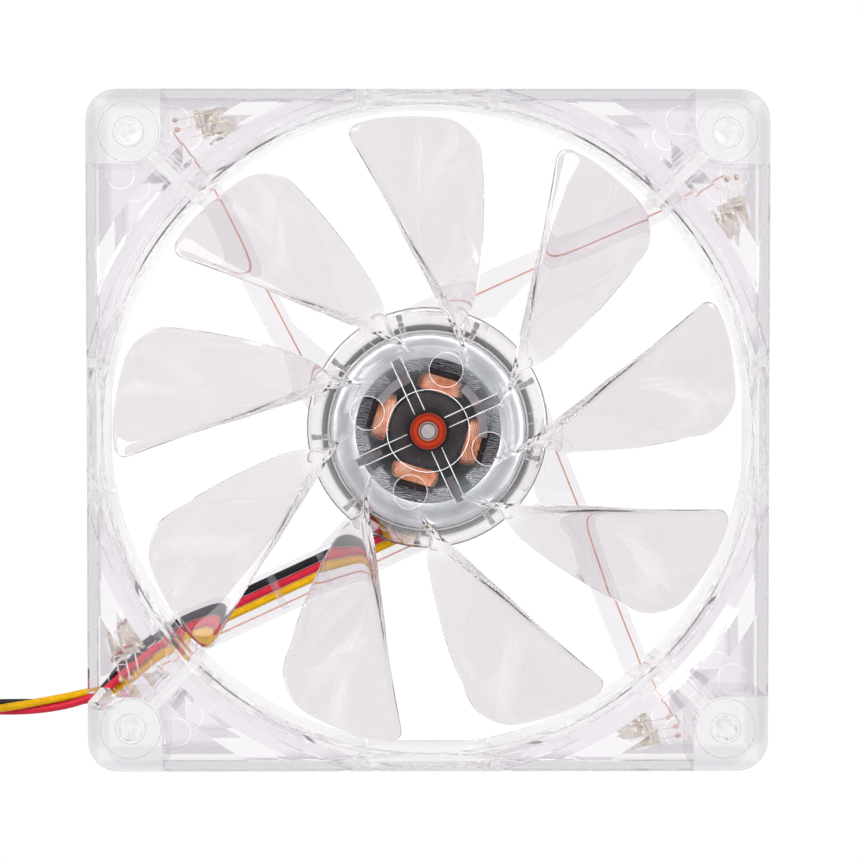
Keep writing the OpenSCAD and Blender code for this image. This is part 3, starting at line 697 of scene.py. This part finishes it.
def box_mesh(x0, x1, y0, y1, z0, z1, rot=0.0):
    c, s = math.cos(math.radians(rot)), math.sin(math.radians(rot))
    v = []
    for z in (z0, z1):
        for x, y in ((x0, y0), (x1, y0), (x1, y1), (x0, y1)):
            v.append(((c * x - s * y) * MM, (s * x + c * y) * MM, z * MM))
    return v, [(0, 3, 2, 1), (4, 5, 6, 7), (0, 1, 5, 4), (1, 2, 6, 5), (2, 3, 7, 6), (3, 0, 4, 7)]


def plate(outline, thick, rot):
    """Radial plate: (r, z) outline in mm, turned to rot degrees."""
    c, s = math.cos(math.radians(rot)), math.sin(math.radians(rot))
    n = len(outline)
    v = []
    for y in (-thick / 2, thick / 2):
        for x, z in outline:
            v.append(((c * x - s * y) * MM, (s * x + c * y) * MM, z * MM))
    f = [tuple(range(n)), tuple(range(2 * n - 1, n - 1, -1))]
    for k in range(n):
        j = (k + 1) % n
        f.append((k, n + k, n + j, j))
    return v, f


def boolean(base, others, op):
    for o in others:
        m = base.modifiers.new("b", "BOOLEAN")
        m.operation = op
        m.solver = "EXACT"
        m.object = o
    bpy.context.view_layer.update()
    dg = bpy.context.evaluated_depsgraph_get()
    me = bpy.data.meshes.new_from_object(base.evaluated_get(dg))
    base.modifiers.clear()
    base.data = me
    for o in others:
        bpy.data.objects.remove(o)


HUB = [(3.2, 24.0), (12.6, 24.0), (13.6, 23.93), (14.6, 23.7), (15.5, 23.3), (16.2, 22.75), (16.9, 21.9), (17.5, 20.7), (18.2, 19), (19.1, 15.5), (20, 12), (20.95, 8), (21.95, 4),
       (20.85, 4), (19.85, 8), (18.9, 12), (18.1, 15.3), (17.3, 18.6), (16.8, 18.6), (16.8, 20.05), (16.3, 20.6), (15.6, 21.25), (14.7, 21.85), (13.6, 22.35), (12.6, 22.5),
       (5.2, 22.5), (5.2, 16.6), (3.2, 16.6)]
hub = tmp_obj("hub_body", *lathe(HUB, 120))
adds = []
for k in range(4):
    adds.append(tmp_obj("rib", *box_mesh(4.5, 13.8, -0.95, 0.95, 21.3, 22.8, 24.5 + 90 * k)))
for k in range(9):
    adds.append(tmp_obj("web", *plate([(16.85, 5.5), (20.8, 5.5), (18.8, 14.5), (16.85, 14.5)], 1.0, 24.5 + 40 * k)))
for k in range(9):
    adds.append(tmp_obj("blade", *blade_mesh(-40 * k)))
boolean(hub, adds, "UNION")
hub.name = "impeller_clear"
hub.data.materials.clear()
hub.data.materials.append(M_ROTOR)
for p_ in hub.data.polygons:
    p_.material_index = 0
sharp(hub, 32)
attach(hub, "rotor")
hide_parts("impeller")


# painted highlights: fine bright lines laid on the moulded disc along the cross ribs' edges, round its circles and at
# its pin marks
def ring_mesh(cx, cy, r0, r1, z0, z1, n=64):
    v, f = [], []
    for i in range(n):
        a = 2 * math.pi * i / n
        for r, z in ((r0, z0), (r1, z0), (r1, z1), (r0, z1)):
            v.append(((cx + r * math.cos(a)) * MM, (cy + r * math.sin(a)) * MM, z * MM))
    for i in range(n):
        j = (i + 1) % n
        for s in range(4):
            t = (s + 1) % 4
            f.append((i * 4 + s, j * 4 + s, j * 4 + t, i * 4 + t))
    return v, f


lines = []
RZ0, RZ1 = 21.18, 21.34
for k in range(4):
    for y in (-0.95, 0.95):
        lines.append((*box_mesh(3.6, 13.9, y - 0.09, y + 0.09, RZ0, RZ1, 24.5 + 90 * k), 0))
    lines.append((*box_mesh(13.75, 13.9, -0.95, 0.95, RZ0, RZ1, 24.5 + 90 * k), 0))
    a = math.radians(73.5 + 90 * k)
    lines.append((*ring_mesh(11.2 * math.cos(a), 11.2 * math.sin(a), 2.95, 3.06, 22.0, 22.1), 0))
lines.append((*ring_mesh(0, 0, 7.23, 7.38, 21.5, 21.62, 96), 0))
for a in (6, 126, 246):
    a = math.radians(a)
    lines.append((*ring_mesh(18.9 * math.cos(a), 18.9 * math.sin(a), 0.98, 1.06, 13.0, 13.1, 32), 0))
V, F, MI = merge(lines)
# painted highlights: the bright lines of the hub disc
o = new_obj("hub_painted_highlight_lines", V, F, [M_FROST_AND_HIGHLIGHT], "rotor", True, None)
fix_normals(o)
bevel(o, 0.00003, 1)

# shaded cores of the cross ribs and of the webs, and the dark lower rim of the skirt
cores = []
for k in range(4):
    cores.append((*box_mesh(9.0, 13.6, -0.62, 0.62, 21.0, 21.15, 24.5 + 90 * k), 0))
V, F, MI = merge(cores)
o = new_obj("hub_rib_cores", V, F, [M_CORE], "rotor", True, None)
fix_normals(o)
bevel(o, 0.00004, 1)
webs = []
for k in range(9):
    webs.append((*plate([(19.0, 5.0), (20.4, 5.0), (20.2, 5.9), (18.4, 13.6), (18.0, 13.6)], 0.72, 24.5 + 40 * k), 0))
V, F, MI = merge(webs)
o = new_obj("hub_web_cores", V, F, [M_WEB], "rotor", True, None)
fix_normals(o)
bevel(o, 0.00004, 1)
v, f = lathe([(21.93, 4.0), (22.07, 4.0), (22.07, 4.14), (21.93, 4.14)], 120)
o = new_obj("skirt_rim_line", v, f, [M_RIM], "rotor", True, None)
fix_normals(o)

# yoke: drawn steel cup with a rounded shoulder
v, f = lathe([(12.9, 19.0), (12.9, 19.85), (13.05, 20.0), (15.6, 20.0), (16.1, 19.88), (16.45, 19.6), (16.66, 19.2), (16.72, 18.7), (16.72, 6.0), (15.8, 6.0), (15.8, 19.0)], 144)
yoke = new_obj("yoke_cup", v, f, [M_YOKE], "rotor", True, None)
fix_normals(yoke)
sharp(yoke, 50)
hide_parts("rotor_yoke")

# ------------------------------------------------------------------ windings
def winding_mesh(a_deg):
    """Turns of enamelled wire round a pole, in two layers, seen as real loops."""
    a = math.radians(a_deg)
    er = Vector((math.cos(a), math.sin(a), 0))
    et = Vector((-math.sin(a), math.cos(a), 0))
    parts = []
    pitch = 0.34
    for layer, (hw, hz, rr, n) in enumerate([(3.02, 3.72, 0.95, 8), (3.32, 4.0, 1.2, 9), (3.55, 4.13, 1.4, 8)]):
        for i in range(n):
            x = 7.07 + (0.17 if n == 8 else 0.0) + pitch * i
            if layer == 2:
                x = 7.24 + pitch * i
            full = max(0.0, 1 - ((x - 8.1) / 2.1) ** 2)
            bw = hw + (0.0, 0.25, 0.62)[layer] * full
            bz = hz + (0.0, 0.10, 0.20)[layer] * full
            pts = []
            for q, (sx, sz) in enumerate(((1, 1), (-1, 1), (-1, -1), (1, -1))):
                for k in range(7):
                    w = math.radians(90 * q + 15 * k)
                    t = sx * (bw - rr) + rr * math.cos(w)
                    z = sz * (bz - rr) + rr * math.sin(w)
                    pts.append((er * x + et * t + Vector((0, 0, 11.0 + z))) * MM)
            pts.append(pts[0].copy())
            m = len(pts)
            rad = 0.00018
            v, f = [], []
            for i2, pnt in enumerate(pts):
                tn = (pts[(i2 + 1) % (m - 1)] - pts[(i2 - 1) % (m - 1)]).normalized()
                sd = tn.cross(er).normalized()
                for k in range(6):
                    w = 2 * math.pi * k / 6
                    v.append(pnt + rad * (math.cos(w) * er + math.sin(w) * sd))
            for i2 in range(m - 1):
                for k in range(6):
                    j = (k + 1) % 6
                    f.append((i2 * 6 + k, i2 * 6 + j, (i2 + 1) * 6 + j, (i2 + 1) * 6 + k))
            parts.append((v, f, 0))
    # body under the turns
    prof = []
    for q, (sx, sz) in enumerate(((1, 1), (-1, 1), (-1, -1), (1, -1))):
        for k in range(5):
            w = math.radians(90 * q + 22.5 * k)
            prof.append((sx * 2.2 + 1.1 * math.cos(w), 11 + sz * 2.85 + 1.1 * math.sin(w)))
    v, f = [], []
    for x in (6.92, 9.98):
        for t, z in prof:
            v.append((er * x + et * t + Vector((0, 0, z))) * MM)
    n = len(prof)
    for k in range(n):
        f.append((k, (k + 1) % n, n + (k + 1) % n, n + k))
    f.append(tuple(range(n - 1, -1, -1)))
    f.append(tuple(range(n, 2 * n)))
    parts.append((v, f, 0))
    return merge(parts)


for k in range(4):
    V, F, MI = winding_mesh(73.5 + 90 * k)
    o = new_obj(f"winding_turns_{k + 1}", V, F, [M_COPPER], "housing", True, None)
    fix_normals(o)
    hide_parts(f"winding_{k + 1}")


# ------------------------------------------------------------------ wires in the strut
def sp(th, d, t, z):
    a = math.radians(th)
    return (-d * math.sin(a) + t * math.cos(a), d * math.cos(a) + t * math.sin(a), z)


ST = 204.8
R_BLACK = [sp(ST, 11.0, 9.0, 3.2), sp(ST, 12.2, 10.2, 3.25), sp(ST, 13.45, 12.4, 3.1), sp(ST, 13.45, 15.2, 2.25), sp(ST, 13.45, 18, 2.0), sp(ST, 13.4, 28, 2.0),
           sp(ST, 13.4, 40, 2.0), sp(ST, 13.4, 52, 2.0), sp(ST, 13.4, 57, 2.0), (-52.4, -40.0, 1.9), (-54.8, -42.2, 1.9), (-57.2, -45.0, 1.75), (-58.6, -46.9, 1.5), (-60, -48.45, 1.25)]
R_RED = [sp(ST, 11.0, 5.4, 3.15), sp(ST, 12.4, 6.4, 3.2), sp(ST, 13.9, 8.2, 2.95), sp(ST, 14.95, 11, 2.3), sp(ST, 14.95, 15, 2.0), sp(ST, 14.9, 28, 2.0),
         sp(ST, 14.9, 40, 2.0), sp(ST, 14.9, 52, 2.0), sp(ST, 14.9, 56.6, 2.1), (-51.4, -41.3, 2.5), (-53.8, -43.3, 2.9), (-56.6, -46.0, 3.2), (-58.4, -47.6, 3.05), (-60, -49.05, 2.6)]
R_YELLOW = [sp(ST, 11.0, 1.8, 3.15), sp(ST, 12.6, 2.4, 3.2), sp(ST, 14.3, 4.0, 3.15), sp(ST, 15.7, 5.9, 2.8), sp(ST, 16.45, 9, 2.2), sp(ST, 16.45, 13, 2.0), sp(ST, 16.4, 28, 2.0),
            sp(ST, 16.4, 40, 2.0), sp(ST, 16.4, 52, 2.0), sp(ST, 16.4, 56, 2.0), (-50.6, -42.6, 1.9), (-53.0, -44.6, 1.9), (-55.7, -47.1, 1.75), (-57.9, -48.6, 1.5), (-60, -49.95, 1.25)]
for name, pts, mat, slot in (("black", R_BLACK, M_W_BLACK, "wire_black"), ("red", R_RED, M_W_RED, "wire_red"), ("yellow", R_YELLOW, M_W_YELLOW, "wire_yellow")):
    path = catmull([mm(*p) for p in pts], 5)
    v, f = sweep(path, 0.00074, 14)
    o = new_obj(f"strut_wire_{name}", v, f, [mat], "housing", True, None)
    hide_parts(f"wire_{name}")

# ------------------------------------------------------------------ lamps and their wires
STRUTS = [(117.6, 14.4), (24.5, 18.4), (291.7, 20.4), (204.8, 18.6)]


def pk(k, p):
    c, s = [(1, 0), (0, -1), (-1, 0), (0, 1)][k]
    return (c * p[0] - s * p[1], s * p[0] + c * p[1], p[2])


def lamp_pt(k, x, y, z):
    a = math.radians(12)
    u = (-38.5 + x * math.cos(a) - y * math.sin(a), 56.0 + x * math.sin(a) + y * math.cos(a), 12.5 + z)
    return Vector(pk(k, u)) * MM


for k in range(4):
    th, d = STRUTS[k]
    z = 1.6 if k == 3 else 3.02
    ts = [10.6, 16, 24, 34, 44, 54] if k == 3 else [14, 20, 24, 34, 44, 54, 60] if k == 0 else [10.5, 16, 24, 34, 44, 53, 58]
    pts = [sp(th, d, t, z) for t in ts]
    if k == 3:
        pts.append(sp(th, d, 60, 2.5))
    pts += [pk(k, q) for q in ([(-43.6, 50.9, 3.7), (-44.9, 52.1, 5.8), (-45.4, 52.8, 9)] if k == 3 else [(-43.6, 50.2, 4), (-44.9, 51.9, 7), (-45.4, 52.8, 10)])]
    pts.append(pk(k, (-45.6, 53.3, 11.85)))
    path = catmull([mm(*p) for p in pts], 4)
    parts = []
    for s_ in (-1, 1):
        parts.append((*sweep(path, 0.000065, 8, lambda i, s, s_=s_: (0.00008 * s_, 0.00004 * math.sin(s * 700 + s_))), 0))
    V, F, MI = merge(parts)
    o = new_obj(f"lamp_wire_pair_{k + 1}", V, F, [M_ENAMEL], "housing", True, None)
    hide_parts(f"lamp_wire_{k + 1}")

    # clear lens with its lead frame inside, leads and solder joint
    prof = [(0, -3.2), (1.85, -3.2), (1.9, -3.1), (1.9, -2.4), (1.82, -2.3), (1.5, -2.3), (1.5, 1.5), (1.44, 1.95), (1.28, 2.4), (0.98, 2.8), (0.55, 3.05), (0, 3.15)]
    v, f = [], []
    n = 32
    for i in range(n):
        a = 2 * math.pi * i / n
        for r, x in prof[1:-1]:
            v.append(lamp_pt(k, x, r * math.cos(a), r * math.sin(a)))
    kk = len(prof) - 2
    for i in range(n):
        j = (i + 1) % n
        for s_ in range(kk - 1):
            f.append((i * kk + s_, j * kk + s_, j * kk + s_ + 1, i * kk + s_ + 1))
    v.append(lamp_pt(k, -3.2, 0, 0))
    v.append(lamp_pt(k, 3.15, 0, 0))
    for i in range(n):
        j = (i + 1) % n
        f.append((n * kk, j * kk, i * kk))
        f.append((n * kk + 1, i * kk + kk - 1, j * kk + kk - 1))
    lens = new_obj(f"lamp_lens_{k + 1}", v, f, [M_LAMP], "housing", True, None)
    fix_normals(lens)
    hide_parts(f"lamp_{k + 1}")

    def bar(x0, x1, y0, y1, z0, z1):
        vs = [lamp_pt(k, x, y, zz) for zz in (z0, z1) for x, y in ((x0, y0), (x1, y0), (x1, y1), (x0, y1))]
        return vs, [(0, 3, 2, 1), (4, 5, 6, 7), (0, 1, 5, 4), (1, 2, 6, 5), (2, 3, 7, 6), (3, 0, 4, 7)], 0

    V, F, MI = merge([bar(-6.5, -1.0, 0.72, 0.98, -0.13, 0.13), bar(-6.5, -1.4, -0.98, -0.72, -0.13, 0.13),
                      bar(-1.5, 0.2, 0.35, 1.0, -0.16, 0.16), bar(-1.5, -0.2, -0.95, -0.25, -0.16, 0.16)])
    leads = new_obj(f"lamp_leads_{k + 1}", V, F, [M_TIN], "housing", False, None)
    bevel(leads, 0.00008)
    # two rounded solder joints
    parts = []
    for y in (-0.85, 0.85):
        v, f = [], []
        rings, seg = 8, 12
        for i in range(rings + 1):
            ph = math.pi * i / rings
            for j in range(seg):
                q = 2 * math.pi * j / seg
                rr = 0.46 * (1 + 0.08 * math.sin(3 * q + y))
                v.append(lamp_pt(k, -6.75 + 0.55 * math.cos(ph), y + rr * math.sin(ph) * math.cos(q), rr * math.sin(ph) * math.sin(q)))
        for i in range(rings):
            for j in range(seg):
                j2 = (j + 1) % seg
                f.append((i * seg + j, i * seg + j2, (i + 1) * seg + j2, (i + 1) * seg + j))
        parts.append((v, f, 0))
    V, F, MI = merge(parts)
    o = new_obj(f"lamp_solder_{k + 1}", V, F, [M_SOLDER], "housing", True, None)
    fix_normals(o)

# round moulding marks on the rear flange, two in each corner
marks = []
for q in range(4):
    for x, y in ((-46.2, 56.2), (-56.2, 46.2)):
        for _ in range(q):
            x, y = y, -x
        marks.append((*ring_mesh(x, y, 2.5, 2.62, 2.5, 2.62, 40), 0))
V, F, MI = merge(marks)
o = new_obj("corner_mould_marks", V, F, [M_FROST_AND_HIGHLIGHT], "housing", True, None)
fix_normals(o)
bevel(o, 0.00003, 1)

# painted shade: grey rings around each screw hole, where the countersink's edge and the boss show as dark lines
rings = []
for sx, sy in ((1, 1), (-1, 1), (-1, -1), (1, -1)):
    for r in (2.62, 5.25):
        rings.append((*ring_mesh(52.5 * sx, 52.5 * sy, r, r + 0.11, 24.62, 24.72, 72), 0))
V, F, MI = merge(rings)
o = new_obj("screw_hole_shade_rings", V, F, [M_EDGE_SHADE], "housing", True, None)
fix_normals(o)
bevel(o, 0.00003, 1)


# ------------------------------------------------------------------ stage
def emission(name, color, strength):
    m = bpy.data.materials.new(name)
    m.use_nodes = True
    nt = m.node_tree
    nt.nodes.remove(nt.nodes["Principled BSDF"])
    e = nt.nodes.new("ShaderNodeEmission")
    e.inputs[0].default_value = (*color, 1)
    e.inputs[1].default_value = strength
    nt.links.new(e.outputs[0], nt.nodes["Material Output"].inputs["Surface"])
    return m


fm = emission("floor_white", (1, 1, 1), 1.01)
s = 0.75
floor = new_obj("stage_floor", [(-s, -s, -0.0002), (s, -s, -0.0002), (s, s, -0.0002), (-s, s, -0.0002)], [(0, 1, 2, 3)], [fm], None, False)


def area(name, loc, target, sx, sy, power, color=(1, 1, 1)):
    d = bpy.data.lights.new(name, "AREA")
    d.shape = "RECTANGLE"
    d.size = sx
    d.size_y = sy
    d.energy = power
    d.color = color
    o = bpy.data.objects.new(name, d)
    scene.collection.objects.link(o)
    up = (0, 1, 0) if abs(Vector(target).xy.length - Vector(loc).xy.length) > -1 else (1, 0, 0)
    o.matrix_world = look_at(loc, target, up)
    return o


area("key_left", (-0.55, 0.35, 0.55), (0, 0, 0.0), 0.35, 0.5, 4.5)
area("key_right", (0.60, 0.10, 0.50), (0, 0, 0.0), 0.22, 0.5, 3.0)
area("top_back", (0.05, 0.65, 0.60), (0, 0, 0.0), 0.7, 0.2, 3.0)

w = bpy.data.worlds.new("studio")
scene.world = w
w.use_nodes = True
nt = w.node_tree
bg = nt.nodes["Background"]
tc = nt.nodes.new("ShaderNodeTexCoord")
sepw = nt.nodes.new("ShaderNodeSeparateXYZ")
nt.links.new(tc.outputs["Generated"], sepw.inputs[0])
cr = nt.nodes.new("ShaderNodeValToRGB")
els = cr.color_ramp.elements
WORLD = [(0.0, (0.98, 0.97, 1.0)), (0.07, (0.80, 0.79, 0.81)), (0.13, (0.20, 0.195, 0.205)), (0.32, (0.22, 0.215, 0.23)), (0.62, (0.34, 0.335, 0.345)), (0.955, (0.29, 0.285, 0.293)), (0.982, (0.034, 0.034, 0.036))]
while len(els) < len(WORLD):
    els.new(0.5)
for e, (pos, c) in zip(els, WORLD):
    e.position = pos
    e.color = (*c, 1)
nt.links.new(sepw.outputs[2], cr.inputs[0])
nt.links.new(cr.outputs[0], bg.inputs[0])
bg.inputs[1].default_value = 3.0

scene.view_settings.view_transform = "Standard"
scene.view_settings.look = "None"
scene.view_settings.exposure = 0.0
scene.view_settings.gamma = 1.0
scene.cycles.max_bounces = 24
scene.cycles.transmission_bounces = 20
scene.cycles.glossy_bounces = 8
scene.cycles.diffuse_bounces = 4
scene.cycles.transparent_max_bounces = 24
scene.cycles.caustics_reflective = False
scene.cycles.caustics_refractive = True
